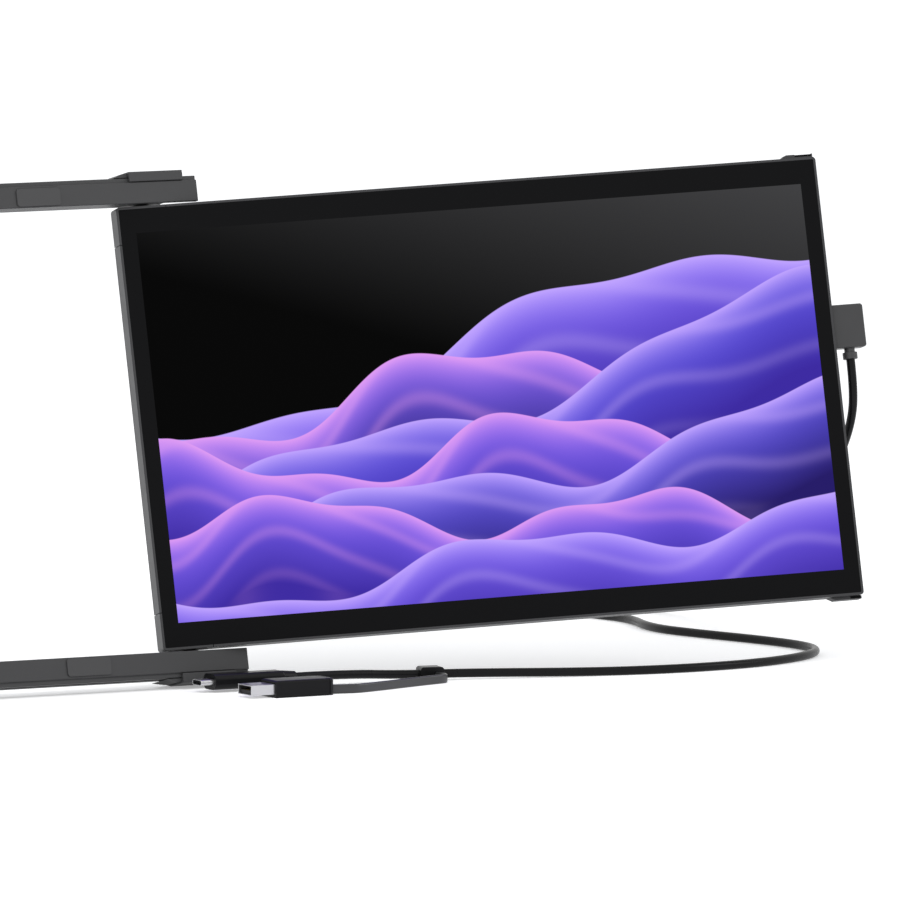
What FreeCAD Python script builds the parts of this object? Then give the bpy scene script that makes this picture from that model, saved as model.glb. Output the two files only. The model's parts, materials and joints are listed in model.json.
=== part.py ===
# Slide-out screen extender for a laptop: a U-shaped frame that magnets hold on the back of
# the laptop's lid, a carriage that slides along the frame's two rails, and a hinged display
# with a USB-C cord. Millimetres.
# Frame of the part: +X along the rails towards the open side, +Z up, -Y towards the user.
# Pieces are drawn upright on the lid: u right, v away from the user, w up the lid. The hinge
# axis is u = 0, v = AXIS_V. They are then leaned back with the lid.
import FreeCAD, Part
import math
import os

V = FreeCAD.Vector

# Pose of the photograph
LID_LEAN_DEG = 12.726
DISPLAY_SWING_DEG = 12.689
TABLE_Z = -115.4

# Display panel
ACTIVE_W = 312.1
ACTIVE_H = 175.6
BEZEL_SIDE = 8.25
BEZEL_END = 11.95
FRONT_V = 0.5
DISPLAY_T = 9.0
RIM_WALL = 1.1
CORNER_R = 1.6
COVER_T = 1.2
GLASS_T = 0.9
GLASS_GAP = 0.08
LEDGE_T = 0.8
LEDGE_REACH = 2.2
LCD_T = 1.4
LCD_MARGIN = 1.2
BACKLIGHT_T = 1.5
BACKLIGHT_MARGIN = 0.6
CHASSIS_T = 0.5
LAYER_GAP = 0.05
STUB = 16.1

# Slide and hinge
AXIS_V = 16.5
SEAM_FROM_AXIS = 7.0
SEAM_GAP = 0.3
PIN_R = 1.6
PIN_PLAY = 0.05
PIN_SEAT = 0.01
PIN_SHORT = 0.2
BARREL_R = 3.6
BARREL_LEN = 15.0
BARREL_INSET = 0.3
WASHER_PLAY = 0.1
LEAF_T = 1.4
LEAF_LEFT = 13.0
LEAF_RIGHT = 24.0
LEAF_SCREW_U = (12.0, 19.5)

# Rails and end bar
RAIL_GAP = 1.05
RAIL_FACE_H = 9.6
RAIL_LIP_H = 2.0
RAIL_LIP_BACK = 1.0
RAIL_T = 12.5
RAIL_EDGE = 0.3
RAIL_RIGHT = 20.5
BAR_W = 12.0
BAR_CLEAR = 1.2
PEG_R = 2.4
PEG_LEN = 3.0
PEG_PLAY = 0.1
GROOVE_NECK = 3.0
GROOVE_HEAD = 6.0
GROOVE_HEAD_H = 4.0
GROOVE_LIP = 3.0
GROOVE_PLAY = 0.3
GROOVE_STOP = 0.4
NOTCH_PLAY = 0.5

# Carriage
SHOE_HALF = 12.0
PLATE_T = 1.5
PLATE_RIGHT = 14.5
PLATE_FLAT_LEFT = 16.7
PLATE_FOOT_LEFT = 20.2
KNUCKLE_HALF = 8.0
CAP_HALF = 13.5
CAP_T = 0.8
CAP_LIP_T = 1.5
CAP_FRONT = 0.8
CAP_LIP_GAP = 0.2
CAP_EDGE = 0.4
SLOPE_V = 12.0
SLOPE_DROP = 2.4

# Corner lugs on the display's outer end, their places counted in from that end
LUG_FOOT = 15.6
LUG_TOP = 12.8
LUG_END = 0.4
LUG_RISE = (1.85, 2.25)
LUG_FRONT = 2.7
LUG_BACK = 0.6
LUG_RECESS = ((8.8, 1.0), (6.0, 1.0))
LUG_RECESS_D = 1.1
LUG_DEPTH = 2.2

# Magnets and the plates they hold to
MAGNET = (20.0, 6.0, 2.0)
MAGNET_FROM_AXIS = 60.0
MAGNET_SPACING = 190.0
MAGNET_FROM_EDGE = 1.6
BAR_MAGNET_LEN = 30.0
POCKET_PLAY = 0.1
LID_PLATE_T = 0.6
LID_PLATE_MARGIN = 1.0

# Electronics
BOARD_T = 1.0
MAIN_BOARD = (60.0, 46.0)
SOCKET_W = 22.3
SOCKET_SIZE = (7.4, 9.4, 3.6)
SOCKET_WALL = 0.35
SOCKET_GAP = 0.1
SOCKET_ROOM = 0.25
SOCKET_TONGUE = (5.0, 6.6, 0.7)
KEY_W = (-26.0, -38.0, -50.0)
KEY_SIZE = (8.0, 2.6)
KEY_PROUD = 0.7
KEY_PLAY = 0.15
KEY_FLANGE = 0.9
KEY_FLANGE_T = 0.6
KEY_TRAVEL = 0.5
KEY_BOARD_W = 34.0
SWITCH_SIZE = (1.6, 3.0, 2.4)

# Angled plug on the display
PLUG_OUT = 15.3
PLUG_H = 19.7
PLUG_T = 7.0
PLUG_GAP = 0.2
PLUG_CORNER_R = 1.3
PLUG_EDGE = 0.5
SHELL_W = 8.34
SHELL_T = 2.56
SHELL_WALL = 0.3
SHELL_LEN = 6.5
RELIEF_FROM_EDGE = 7.9
RELIEF_LEN = 5.0
RELIEF_R1 = 3.3
RELIEF_R2 = 2.7
RELIEF_STEP = 0.3
RELIEF_COLLAR = 1.4
RELIEF_BEAD = 1.0

# Cord and what lies on it
CORD_R = 2.0
CORD_Z = TABLE_Z + CORD_R
LAPTOP_PLUG = (36.0, 11.0, 7.0)
LAPTOP_PLUG_Z = -110.7
LAPTOP_PLUG_Y = -39.7
LAPTOP_PLUG_RIGHT = 349.6
LAPTOP_RELIEF_LEN = 7.0
ADAPTER = (30.0, 14.5, 7.6)
ADAPTER_END = 3.0
ADAPTER_RIGHT = (356.6, -77.4)
USB_A_SHELL = (12.0, 12.0, 4.5)
USB_A_WALL = 0.35
STRAP_T = 2.0
STRAP_H = 4.2
CLIP_SIZE = (11.0, 8.0, 6.4)
CLIP_WALL = 1.0
CLIP_PLAY = 0.15
CLIP_SHARE = 0.55

# Screws
SCREW_HEAD_R = 1.9
SCREW_HEAD_T = 0.6
SCREW_R = 0.9
SCREW_LEN = 2.6
SCREW_PLAY = 0.05
DRIVE_R = 0.8
DRIVE_D = 0.4
COVER_SCREW_IN = 14.0
COVER_SCREW_EDGE = 5.0

# Sizes that follow from the values above
HALF_W = ACTIVE_W / 2 + BEZEL_SIDE
HALF_H = ACTIVE_H / 2 + BEZEL_END
AXIS_TO_CENTRE = HALF_W - STUB
DISPLAY_LEFT = -STUB
DISPLAY_RIGHT = AXIS_TO_CENTRE + HALF_W
SLIDE_TRAVEL = DISPLAY_RIGHT - RAIL_RIGHT
BACK_V = FRONT_V + DISPLAY_T
COVER_V = BACK_V - COVER_T
GLASS_V = FRONT_V + 0.05
LEDGE_V = GLASS_V + GLASS_T + LAYER_GAP
LCD_V = GLASS_V + GLASS_T + LAYER_GAP
BACKLIGHT_V = LCD_V + LCD_T + LAYER_GAP
CHASSIS_V = BACKLIGHT_V + BACKLIGHT_T + LAYER_GAP
BOARD_V = CHASSIS_V + CHASSIS_T
RAIL_IN = HALF_H + RAIL_GAP
FACE_OUT = RAIL_IN + RAIL_FACE_H
RAIL_OUT = FACE_OUT + RAIL_LIP_H
STUB_SWEEP = math.hypot(DISPLAY_LEFT, AXIS_V - FRONT_V)
BAR_RIGHT = -SLIDE_TRAVEL - STUB_SWEEP - BAR_CLEAR
BAR_LEFT = BAR_RIGHT - BAR_W
GROOVE_RIGHT = SHOE_HALF + GROOVE_STOP
GROOVE_V = RAIL_T / 2
PLATE_IN = RAIL_OUT + GROOVE_PLAY
PLATE_OUT = PLATE_IN + PLATE_T
KNUCKLE_BACK = AXIS_V + BARREL_R
KNUCKLE_FRONT = RAIL_T + GROOVE_PLAY
BARREL_TOP = HALF_H - BARREL_INSET
ORIGIN_U = (BAR_LEFT + BAR_RIGHT) / 2
SOCKET_V = COVER_V - SOCKET_SIZE[2] / 2 - SOCKET_GAP
SCREW_SEAT = 1.0


def box(u0, u1, v0, v1, w0, w1):
    """Box between three pairs of planes."""
    low = V(min(u0, u1), min(v0, v1), min(w0, w1))
    return Part.makeBox(abs(u1 - u0), abs(v1 - v0), abs(w1 - w0), low)


def rounded_plate(u0, u1, w0, w1, v0, v1, radius):
    """Plate in the display's plane with four rounded corners, from v0 back to v1."""
    plate = box(u0, u1, v0, v1, w0, w1)
    corners = [e for e in plate.Edges if abs(e.tangentAt(e.FirstParameter).y) > 0.99]
    return plate.makeFillet(radius, corners)


def prism_u(points_vw, u0, u1):
    """Outline in the v-w plane, drawn out along the rail."""
    face = Part.Face(Part.makePolygon([V(u0, v, w) for v, w in points_vw + points_vw[:1]]))
    return face.extrude(V(u1 - u0, 0, 0))


def prism_v(points_uw, v0, v1):
    """Outline in the u-w plane, drawn out towards the back."""
    face = Part.Face(Part.makePolygon([V(u, v0, w) for u, w in points_uw + points_uw[:1]]))
    return face.extrude(V(0, v1 - v0, 0))


def rod(radius, length, base, direction):
    return Part.makeCylinder(radius, length, base, direction)


def tablet(length, width, thickness, start, direction):
    """Flat bar with fully rounded long sides, as a USB-C shell has, along +u or -u."""
    u0, v0, w0 = start
    half = (width - thickness) / 2
    middle = box(u0, u0 + direction * length, v0 - thickness / 2, v0 + thickness / 2,
                 w0 - half, w0 + half)
    for side in (-1, 1):
        base = V(u0, v0, w0 + side * half)
        middle = middle.fuse(rod(thickness / 2, length, base, V(direction, 0, 0)))
    return middle.removeSplitter()


def mirrored(shape, side):
    """Same piece for the top (side 1) or the bottom (side -1)."""
    if side > 0:
        return shape
    return shape.mirror(V(0, 0, 0), V(0, 0, 1))


def on_lid(shape):
    """Lean a piece back with the lid and move it to the part's origin."""
    placed = shape.copy()
    placed.translate(V(-ORIGIN_U, LID_PLATE_T, 0))
    placed.rotate(V(0, 0, 0), V(1, 0, 0), -LID_LEAN_DEG)
    return placed


def on_display(shape):
    """Swing a piece with the display about the hinge axis, then lean it back."""
    swung = shape.copy()
    swung.rotate(V(0, AXIS_V, 0), V(0, 0, 1), -DISPLAY_SWING_DEG)
    return on_lid(swung)


def screw(base, direction):
    """Flat-headed screw whose head top is at base and whose shank goes along direction."""
    head = rod(SCREW_HEAD_R, SCREW_HEAD_T, base, direction)
    shank = rod(SCREW_R, SCREW_LEN + SCREW_HEAD_T, base, direction)
    drive = rod(DRIVE_R, DRIVE_D, base, direction)
    return head.fuse(shank).cut(drive)


def screw_hole(base, direction):
    """Counterbored hole that the screw above fits."""
    head = rod(SCREW_HEAD_R + SCREW_PLAY, SCREW_HEAD_T, base, direction)
    shank = rod(SCREW_R + SCREW_PLAY, SCREW_LEN + SCREW_HEAD_T + SCREW_PLAY, base, direction)
    return head.fuse(shank)


# Rails and end bar

def groove(left, right, play):
    """T-shaped groove in the rail's outer edge; less play gives the head that runs in it."""
    head_top = RAIL_OUT - GROOVE_LIP - play
    head = box(left, right, GROOVE_V - GROOVE_HEAD / 2 + play, GROOVE_V + GROOVE_HEAD / 2 - play,
               head_top - GROOVE_HEAD_H + 2 * play, head_top)
    neck = box(left, right, GROOVE_V - GROOVE_NECK / 2 + play, GROOVE_V + GROOVE_NECK / 2 - play,
               head_top, RAIL_OUT + play)
    return head.fuse(neck)


def magnet_places():
    return (-MAGNET_FROM_AXIS, -MAGNET_FROM_AXIS - MAGNET_SPACING)


def magnet_box(centre_u, play, depth):
    length, height, _ = MAGNET
    low = RAIL_IN + MAGNET_FROM_EDGE
    return box(centre_u - length / 2 - play, centre_u + length / 2 + play, 0, depth,
               low - play, low + height + play)


def bar_magnet_box(play, depth):
    half = BAR_MAGNET_LEN / 2 + play
    width = MAGNET[1] / 2 + play
    return box(ORIGIN_U - width, ORIGIN_U + width, 0, depth, -half, half)


def rail(side):
    edge = RAIL_EDGE
    profile = [(edge, RAIL_IN), (0, RAIL_IN + edge), (0, FACE_OUT - edge), (edge, FACE_OUT),
               (RAIL_LIP_BACK, FACE_OUT), (RAIL_LIP_BACK, RAIL_OUT - edge),
               (RAIL_LIP_BACK + edge, RAIL_OUT), (RAIL_T - edge, RAIL_OUT),
               (RAIL_T, RAIL_OUT - edge), (RAIL_T, RAIL_IN + edge), (RAIL_T - edge, RAIL_IN)]
    body = prism_u(profile, BAR_LEFT, RAIL_RIGHT)
    body = body.cut(groove(BAR_LEFT - 1, GROOVE_RIGHT, 0))
    lug_rise = max(LUG_RISE) + NOTCH_PLAY
    notch = box(RAIL_RIGHT - LUG_FOOT - NOTCH_PLAY, RAIL_RIGHT + 1,
                FRONT_V + LUG_FRONT - NOTCH_PLAY, RAIL_T + 1, RAIL_IN - 1, HALF_H + lug_rise)
    body = body.cut(notch)
    for centre_u in magnet_places():
        body = body.cut(magnet_box(centre_u, POCKET_PLAY, MAGNET[2] + POCKET_PLAY))
    peg_hole = rod(PEG_R + PEG_PLAY, PEG_LEN + PEG_PLAY, V(ORIGIN_U, RAIL_T / 2, RAIL_IN), V(0, 0, 1))
    return mirrored(body.cut(peg_hole), side)


def end_plug(side):
    """Plug that closes the groove's left end and stops the carriage there."""
    right = -SLIDE_TRAVEL - SHOE_HALF - GROOVE_STOP
    return mirrored(groove(BAR_LEFT, right, GROOVE_PLAY / 2), side)


def end_bar():
    bar = box(BAR_LEFT, BAR_RIGHT, 0, RAIL_T, -RAIL_IN, RAIL_IN)
    for side in (-1, 1):
        base = V(ORIGIN_U, RAIL_T / 2, side * RAIL_IN)
        bar = bar.fuse(rod(PEG_R, PEG_LEN, base, V(0, 0, side)))
    return bar.cut(bar_magnet_box(POCKET_PLAY, MAGNET[2] + POCKET_PLAY))


def rail_magnets(side):
    pieces = [magnet_box(centre_u, 0, MAGNET[2]) for centre_u in magnet_places()]
    return mirrored(Part.makeCompound(pieces), side)


def lid_plates(side):
    length, height, _ = MAGNET
    low = RAIL_IN + MAGNET_FROM_EDGE - LID_PLATE_MARGIN
    pieces = []
    for centre_u in magnet_places():
        half = length / 2 + LID_PLATE_MARGIN
        pieces.append(rounded_plate(centre_u - half, centre_u + half, low,
                                    low + height + 2 * LID_PLATE_MARGIN, -LID_PLATE_T, 0, 1.5))
    return mirrored(Part.makeCompound(pieces), side)


def bar_lid_plate():
    half = BAR_MAGNET_LEN / 2 + LID_PLATE_MARGIN
    width = MAGNET[1] / 2 + LID_PLATE_MARGIN
    return rounded_plate(ORIGIN_U - width, ORIGIN_U + width, -half, half, -LID_PLATE_T, 0, 1.5)


# Carriage

def shoe(side):
    """Slider with its T-shaped head, ramped outer plate and the knuckle that holds the pin."""
    head = groove(-SHOE_HALF, SHOE_HALF, GROOVE_PLAY)
    outline = [(-PLATE_FOOT_LEFT, PLATE_IN), (-PLATE_FLAT_LEFT, PLATE_OUT),
               (PLATE_RIGHT, PLATE_OUT), (PLATE_RIGHT, PLATE_IN)]
    plate = prism_v(outline, RAIL_LIP_BACK + 0.2, KNUCKLE_BACK)
    knuckle = box(-KNUCKLE_HALF, KNUCKLE_HALF, KNUCKLE_FRONT, KNUCKLE_BACK, RAIL_IN, PLATE_IN)
    body = head.fuse(plate).fuse(knuckle)
    hole = rod(PIN_R + PIN_SEAT, PLATE_OUT - RAIL_IN + 1, V(0, AXIS_V, RAIL_IN - 0.5), V(0, 0, 1))
    return mirrored(body.cut(hole).cut(rear_slope(0)).removeSplitter(), side)


def rear_slope(lift):
    """Wedge taken off the outer rear edge, so that the leaned shoe clears the table."""
    start = PLATE_OUT + lift
    run = KNUCKLE_BACK - SLOPE_V
    outline = [(SLOPE_V, start), (SLOPE_V + 2 * run, start - 2 * SLOPE_DROP),
               (SLOPE_V + 2 * run, start + 5), (SLOPE_V, start + 5)]
    return prism_u(outline, -PLATE_FOOT_LEFT - 1, PLATE_RIGHT + 1)


def shoe_cap(side):
    """Cover over the outer plate, with a front lip that hides the groove from the user."""
    top = PLATE_OUT + CAP_T
    front = -CAP_FRONT
    outline = [(front, PLATE_OUT), (SLOPE_V, PLATE_OUT), (KNUCKLE_BACK, PLATE_OUT - SLOPE_DROP),
               (KNUCKLE_BACK, top - SLOPE_DROP), (SLOPE_V, top), (front, top)]
    plate = prism_u(outline, -CAP_HALF, CAP_HALF)
    lip = box(-CAP_HALF, CAP_HALF, front, front + CAP_LIP_T, FACE_OUT + CAP_LIP_GAP, top)
    body = plate.fuse(lip).removeSplitter()
    edges = []
    for edge in body.Edges:
        box_of = edge.BoundBox
        on_front = abs(box_of.YMin - front) < 1e-6 and abs(box_of.YMax - front) < 1e-6
        if on_front:
            edges.append(edge)
    return mirrored(body.makeFillet(CAP_EDGE, edges), side)


def hinge_pin(side):
    slope = SLOPE_DROP * (AXIS_V + PIN_R - SLOPE_V) / (KNUCKLE_BACK - SLOPE_V)
    length = PLATE_OUT - slope - PIN_SHORT - BARREL_TOP + BARREL_LEN
    return mirrored(rod(PIN_R, length, V(0, AXIS_V, BARREL_TOP - BARREL_LEN), V(0, 0, 1)), side)


def hinge_washer(side):
    low = BARREL_TOP + WASHER_PLAY
    ring = rod(BARREL_R, RAIL_IN - low, V(0, AXIS_V, low), V(0, 0, 1))
    hole = rod(PIN_R + PIN_SEAT, RAIL_IN - low, V(0, AXIS_V, low), V(0, 0, 1))
    return mirrored(ring.cut(hole), side)


# Display

def leaf_screw_places():
    low = BARREL_TOP - BARREL_LEN
    return [(u, low + BARREL_LEN * share) for u in LEAF_SCREW_U for share in (0.25, 0.75)]


def hinge_leaf(side):
    """Barrel round the pin, its bracket, and the leaf screwed to the display's back."""
    low = BARREL_TOP - BARREL_LEN
    barrel = rod(BARREL_R, BARREL_LEN, V(0, AXIS_V, low), V(0, 0, 1))
    bracket = box(-BARREL_R, BARREL_R, BACK_V, AXIS_V, low, BARREL_TOP)
    leaf = box(-LEAF_LEFT, LEAF_RIGHT, BACK_V, BACK_V + LEAF_T, low, BARREL_TOP)
    body = barrel.fuse(bracket).fuse(leaf)
    body = body.cut(rod(PIN_R + PIN_PLAY, BARREL_LEN + 2, V(0, AXIS_V, low - 1), V(0, 0, 1)))
    for u, w in leaf_screw_places():
        body = body.cut(screw_hole(V(u, BACK_V + LEAF_T, w), V(0, -1, 0)))
    return mirrored(body.removeSplitter(), side)


def leaf_screws(side):
    pieces = [screw(V(u, BACK_V + LEAF_T, w), V(0, -1, 0)) for u, w in leaf_screw_places()]
    return mirrored(Part.makeCompound(pieces), side)


def hinge_cap_block(play):
    """Space of the corner piece beside the hinge, for the top corner."""
    low = BARREL_TOP - BARREL_LEN - 1.5
    return box(DISPLAY_LEFT - 1, SEAM_FROM_AXIS + play, FRONT_V - 1, BACK_V + 1,
               low - play, HALF_H + 1)


def display_outline(v0, v1, inset, radius):
    return rounded_plate(DISPLAY_LEFT + inset, DISPLAY_RIGHT - inset, -HALF_H + inset,
                         HALF_H - inset, v0, v1, radius)


def hinge_cap(side):
    """Solid corner that carries the hinge leaf and ends at the seam in the rim."""
    body = display_outline(FRONT_V, BACK_V, 0, CORNER_R)
    glass_room = display_outline(FRONT_V - 1, CHASSIS_V + CHASSIS_T + GLASS_GAP, RIM_WALL,
                                 CORNER_R - RIM_WALL)
    body = body.cut(glass_room).common(hinge_cap_block(0))
    wall = display_outline(FRONT_V, BACK_V, 0, CORNER_R)
    wall = wall.cut(display_outline(FRONT_V - 1, BACK_V + 1, RIM_WALL, CORNER_R - RIM_WALL))
    body = body.fuse(wall.common(hinge_cap_block(0)))
    for u, w in leaf_screw_places():
        body = body.cut(screw_hole(V(u, BACK_V + LEAF_T, w), V(0, -1, 0)))
    return mirrored(body.removeSplitter(), side)


def cap_spaces():
    return hinge_cap_block(SEAM_GAP).fuse(mirrored(hinge_cap_block(SEAM_GAP), -1))


def display_frame():
    """Rim round the glass with the ledge behind it, and openings for the socket and the keys."""
    outer = display_outline(FRONT_V, COVER_V, 0, CORNER_R)
    inner = display_outline(FRONT_V - 1, COVER_V + 1, RIM_WALL, CORNER_R - RIM_WALL)
    body = outer.cut(inner)
    body = body.cut(cap_spaces())
    sleeve = tablet(RIM_WALL + 2, SHELL_W + 1.4, SHELL_T + 0.7,
                    (DISPLAY_RIGHT - RIM_WALL - 1, SOCKET_V, SOCKET_W), 1)
    body = body.cut(sleeve)
    for w in KEY_W:
        body = body.cut(key_slot(w))
    return body


def key_slot(w):
    half_w = KEY_SIZE[0] / 2 + KEY_PLAY
    half_v = KEY_SIZE[1] / 2 + KEY_PLAY
    return box(DISPLAY_RIGHT - RIM_WALL - 1, DISPLAY_RIGHT + 1, SOCKET_V - half_v, SOCKET_V + half_v,
               w - half_w, w + half_w)


def key(w):
    """Edge key: cap through the rim, and a flange behind it that keeps it in."""
    half_w = KEY_SIZE[0] / 2
    half_v = KEY_SIZE[1] / 2
    inner = DISPLAY_RIGHT - RIM_WALL - KEY_PLAY
    cap = box(inner, DISPLAY_RIGHT + KEY_PROUD, SOCKET_V - half_v, SOCKET_V + half_v,
              w - half_w, w + half_w)
    long_edges = [e for e in cap.Edges if abs(e.tangentAt(e.FirstParameter).x) < 0.01
                  and e.CenterOfMass.x > DISPLAY_RIGHT]
    cap = cap.makeFillet(0.4, long_edges)
    flange = box(inner - KEY_FLANGE_T, inner, SOCKET_V - half_v, SOCKET_V + half_v,
                 w - half_w - KEY_FLANGE, w + half_w + KEY_FLANGE)
    return cap.fuse(flange).removeSplitter()


def cover_glass():
    return display_outline(GLASS_V, GLASS_V + GLASS_T, RIM_WALL + GLASS_GAP, CORNER_R - RIM_WALL)


def centred_plate(width, height, v0, thickness, radius):
    centre = AXIS_TO_CENTRE
    return rounded_plate(centre - width / 2, centre + width / 2, -height / 2, height / 2,
                         v0, v0 + thickness, radius)


def lcd_panel():
    return centred_plate(ACTIVE_W + 2 * LCD_MARGIN, ACTIVE_H + 2 * LCD_MARGIN, LCD_V, LCD_T, 1.0)


def backlight():
    margin = LCD_MARGIN + BACKLIGHT_MARGIN
    return centred_plate(ACTIVE_W + 2 * margin, ACTIVE_H + 2 * margin, BACKLIGHT_V, BACKLIGHT_T, 1.0)


def panel_gasket():
    """Foam frame between the glass's black border and the chassis, round the panel."""
    outer = display_outline(GLASS_V + GLASS_T, CHASSIS_V, RIM_WALL + GLASS_GAP, CORNER_R - RIM_WALL)
    margin = LCD_MARGIN + BACKLIGHT_MARGIN + LAYER_GAP
    room = centred_plate(ACTIVE_W + 2 * margin, ACTIVE_H + 2 * margin, GLASS_V, DISPLAY_T, 1.0)
    return outer.cut(room).cut(socket_room())


def socket_room():
    """Space left round the socket in the layers that it stands through."""
    depth, width, thick = SOCKET_SIZE
    right = board_right() + SOCKET_ROOM
    half_v = thick / 2 + SOCKET_ROOM
    half_w = width / 2 + SOCKET_ROOM
    return box(right - depth - 2 * SOCKET_ROOM, DISPLAY_RIGHT, SOCKET_V - half_v, SOCKET_V + half_v,
               SOCKET_W - half_w, SOCKET_W + half_w)


def chassis_plate():
    plate = display_outline(CHASSIS_V, CHASSIS_V + CHASSIS_T, RIM_WALL + GLASS_GAP,
                            CORNER_R - RIM_WALL)
    return plate.cut(socket_room())


def board_right():
    return DISPLAY_RIGHT - RIM_WALL - 0.3


def main_board():
    length, height = MAIN_BOARD
    right = board_right() - SOCKET_SIZE[0]
    board = box(right - length, right, BOARD_V, BOARD_V + BOARD_T, SOCKET_W - height / 2,
                SOCKET_W + height / 2)
    for u_share, w_share, size in ((0.3, 0.65, 14.0), (0.62, 0.3, 9.0), (0.75, 0.75, 6.0)):
        u = right - length + u_share * length
        w = SOCKET_W - height / 2 + w_share * height
        board = board.fuse(box(u - size / 2, u + size / 2, BOARD_V, BOARD_V + BOARD_T + 0.8,
                               w - size / 2, w + size / 2))
    return board


def key_switch_plane():
    return DISPLAY_RIGHT - RIM_WALL - KEY_PLAY - KEY_FLANGE_T - KEY_TRAVEL - 0.15


def button_board():
    """Board with one push switch behind each key."""
    depth, width, height = SWITCH_SIZE
    plane = key_switch_plane()
    middle = KEY_W[1]
    board = box(plane - depth - 6.0, plane - 0.3, BOARD_V, BOARD_V + BOARD_T,
                middle - KEY_BOARD_W / 2, middle + KEY_BOARD_W / 2)
    for w in KEY_W:
        board = board.fuse(box(plane - depth, plane, BOARD_V, SOCKET_V + height / 2,
                               w - width / 2, w + width / 2))
    return board


def usb_c_socket():
    """Drawn shell with the contact tongue inside, open towards the display's edge."""
    depth, width, thick = SOCKET_SIZE
    right = board_right()
    shell = tablet(depth, width, thick, (right - depth, SOCKET_V, SOCKET_W), 1)
    bore = tablet(depth, width - 2 * SOCKET_WALL, thick - 2 * SOCKET_WALL,
                  (right - depth + SOCKET_WALL, SOCKET_V, SOCKET_W), 1)
    length, tongue_w, tongue_t = SOCKET_TONGUE
    tongue = box(right - depth, right - depth + SOCKET_WALL + length, SOCKET_V - tongue_t / 2,
                 SOCKET_V + tongue_t / 2, SOCKET_W - tongue_w / 2, SOCKET_W + tongue_w / 2)
    seat = box(right - depth, right - depth + 3.0, BOARD_V, SOCKET_V, SOCKET_W - 3.0, SOCKET_W + 3.0)
    foot = seat.cut(tablet(depth, width - SOCKET_WALL, thick - SOCKET_WALL,
                           (right - depth, SOCKET_V, SOCKET_W), 1))
    return shell.cut(bore).fuse(tongue).fuse(foot)


def cover_screw_places():
    places = []
    for u in (LEAF_RIGHT + COVER_SCREW_IN, AXIS_TO_CENTRE, DISPLAY_RIGHT - COVER_SCREW_IN):
        for w in (-HALF_H + COVER_SCREW_EDGE, HALF_H - COVER_SCREW_EDGE):
            places.append((u, w))
    return places


def screw_bosses():
    """Posts on the chassis plate that the cover's screws go into."""
    posts = []
    for u, w in cover_screw_places():
        post = rod(3.0, COVER_V - BOARD_V, V(u, BOARD_V, w), V(0, 1, 0))
        posts.append(post.cut(screw_hole(V(u, BACK_V, w), V(0, -1, 0))))
    return Part.makeCompound(posts)


def rear_cover():
    body = display_outline(COVER_V, BACK_V, 0, CORNER_R)
    body = body.cut(cap_spaces())
    for u, w in cover_screw_places():
        body = body.cut(screw_hole(V(u, BACK_V, w), V(0, -1, 0)))
    for side in (-1, 1):
        for u, w in leaf_screw_places():
            body = body.cut(screw_hole(V(u, BACK_V + LEAF_T, side * w), V(0, -1, 0)))
    return body


def leaf_anchor(side):
    """Threaded block inside the cover that the leaf's screws go into."""
    low = BARREL_TOP - BARREL_LEN
    block = box(SEAM_FROM_AXIS + SEAM_GAP + 1.0, LEAF_RIGHT, CHASSIS_V + CHASSIS_T, COVER_V,
                low, HALF_H - RIM_WALL - 0.3)
    for u, w in leaf_screw_places():
        block = block.cut(screw_hole(V(u, BACK_V + LEAF_T, w), V(0, -1, 0)))
    return mirrored(block, side)


def cover_screws():
    return Part.makeCompound([screw(V(u, BACK_V, w), V(0, -1, 0)) for u, w in cover_screw_places()])


def corner_lug(side):
    """Ramped catch that drops into the rail's notch when the display is stowed."""
    rise = LUG_RISE[0] if side > 0 else LUG_RISE[1]
    recess = LUG_RECESS[0] if side > 0 else LUG_RECESS[1]
    end = DISPLAY_RIGHT
    outline = [(end - LUG_FOOT, HALF_H), (end - LUG_TOP, HALF_H + rise),
               (end - LUG_END, HALF_H + rise), (end - LUG_END, HALF_H)]
    body = prism_v(outline, FRONT_V + LUG_FRONT, BACK_V - LUG_BACK)
    cut = box(end - recess[0], end - recess[1], FRONT_V, FRONT_V + LUG_FRONT + LUG_DEPTH,
              HALF_H + rise - LUG_RECESS_D, HALF_H + rise + 1)
    return mirrored(body.cut(cut), side)


# Angled plug on the display

def plug_place():
    return DISPLAY_RIGHT + PLUG_GAP


def plug_housing():
    u0 = plug_place()
    u1 = DISPLAY_RIGHT + PLUG_OUT
    w0 = SOCKET_W - PLUG_H / 2
    w1 = SOCKET_W + PLUG_H / 2
    body = box(u0, u1, SOCKET_V - PLUG_T / 2, SOCKET_V + PLUG_T / 2, w0, w1)
    outer = [e for e in body.Edges if abs(e.tangentAt(e.FirstParameter).y) > 0.99
             and e.CenterOfMass.x > u1 - 1]
    body = body.makeFillet(PLUG_CORNER_R, outer)
    rims = [e for e in body.Edges if e.BoundBox.YLength < 1e-6 and e.BoundBox.XMax > u0 + 1]
    body = body.makeChamfer(PLUG_EDGE, rims)
    bore = rod(CORD_R, 4.0, V(cord_u(), SOCKET_V, w0), V(0, 0, 1))
    return body.cut(bore)


def cord_u():
    return DISPLAY_RIGHT + RELIEF_FROM_EDGE


def plug_shell():
    """Metal tongue of the plug, hollow for the socket's contact tongue."""
    outer = tablet(SHELL_LEN + PLUG_GAP, SHELL_W, SHELL_T, (plug_place(), SOCKET_V, SOCKET_W), -1)
    inner = tablet(SHELL_LEN, SHELL_W - 2 * SHELL_WALL, SHELL_T - 2 * SHELL_WALL,
                   (plug_place() - 0.6, SOCKET_V, SOCKET_W), -1)
    return outer.cut(inner)


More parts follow.
